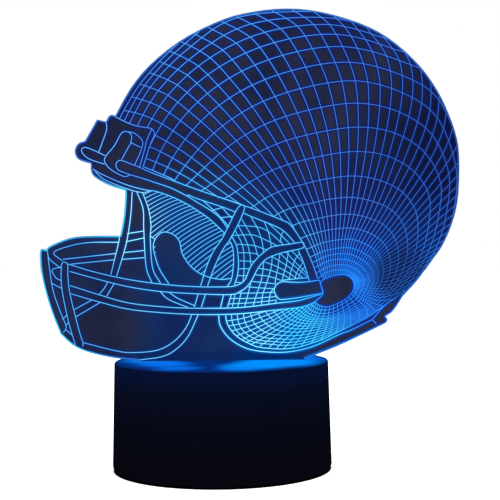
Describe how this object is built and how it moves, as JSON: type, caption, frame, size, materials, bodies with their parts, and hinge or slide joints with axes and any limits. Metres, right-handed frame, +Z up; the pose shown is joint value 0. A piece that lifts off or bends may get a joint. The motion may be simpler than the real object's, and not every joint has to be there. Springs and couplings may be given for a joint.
{
  "type": "edge-lit night lamp",
  "caption": "Edge-lit night lamp: a smoked acrylic panel cut and engraved as a football helmet, standing in a slot in a round black base with LEDs, batteries, rear button and socket.",
  "frame": {"origin": "centre of the whole lamp's box, on the surface that its feet stand on", "axes": "+Z up, X along the panel with +X towards the back of the helmet, +Y towards the rear of the base, where the socket and the button are"},
  "size_m": [0.169, 0.088, 0.1844],
  "materials": {
    "smoked_acrylic": "polished, laser-cut edges",
    "engraved_line": "frosted engraving lit from the edge",
    "black_abs": "satin moulded",
    "white_abs": "moulded",
    "white_board": "white solder mask",
    "green_board": "green solder mask",
    "led_white": "moulded LED body",
    "steel": "nickel plated",
    "rubber": "matte",
    "battery_jacket": "printed sleeve without text",
    "wire_red": "PVC insulation",
    "wire_black": "PVC insulation"
  },
  "bodies": {
    "base": {"base_housing": "black_abs", "bottom_cover": "black_abs", "foot_1": "rubber", "foot_2": "rubber", "foot_3": "rubber", "foot_4": "rubber", "cover_screw_1": "steel", "cover_screw_2": "steel", "cover_screw_3": "steel", "cover_screw_4": "steel", "battery_cell_1": "battery_jacket", "battery_cell_2": "battery_jacket", "battery_cell_3": "battery_jacket", "battery_spring_1": "steel", "battery_spring_2": "steel", "battery_spring_3": "steel", "contact_plate_1": "steel", "contact_plate_2": "steel", "contact_plate_3": "steel", "contact_plate_4": "steel", "led_holder": "white_abs", "led_board": "white_board", "led_1": "led_white", "led_2": "led_white", "led_3": "led_white", "led_4": "led_white", "led_5": "led_white", "led_6": "led_white", "holder_screw_1": "steel", "holder_screw_2": "steel", "led_board_screw_1": "steel", "led_board_screw_2": "steel", "board_screw_1": "steel", "board_screw_2": "steel", "control_board": "green_board", "control_chip": "black_abs", "power_socket": "black_abs", "socket_pin": "steel", "mode_switch": "black_abs", "led_lead_red": "wire_red", "led_lead_black": "wire_black", "battery_lead_red": "wire_red", "battery_lead_black": "wire_black"},
    "panel": {"acrylic_panel": "smoked_acrylic"},
    "door": {"battery_door": "black_abs"},
    "button": {"push_button": "black_abs", "switch_plunger": "white_abs"}
  },
  "joints": [
    {"name": "panel_lift", "type": "slide", "parent": "base", "child": "panel", "axis": [0, 0, 1], "range_m": [0, 0.03]},
    {"name": "battery_door_hinge", "type": "hinge", "parent": "base", "child": "door", "pos_m": [-0.012, -0.0208, 0.002], "axis": [-1, 0, 0], "range_deg": [0, 100]},
    {"name": "button_press", "type": "slide", "parent": "base", "child": "button", "axis": [0, -1, 0], "range_m": [0, 0.0005], "stiffness_N_per_m": 300}
  ]
}
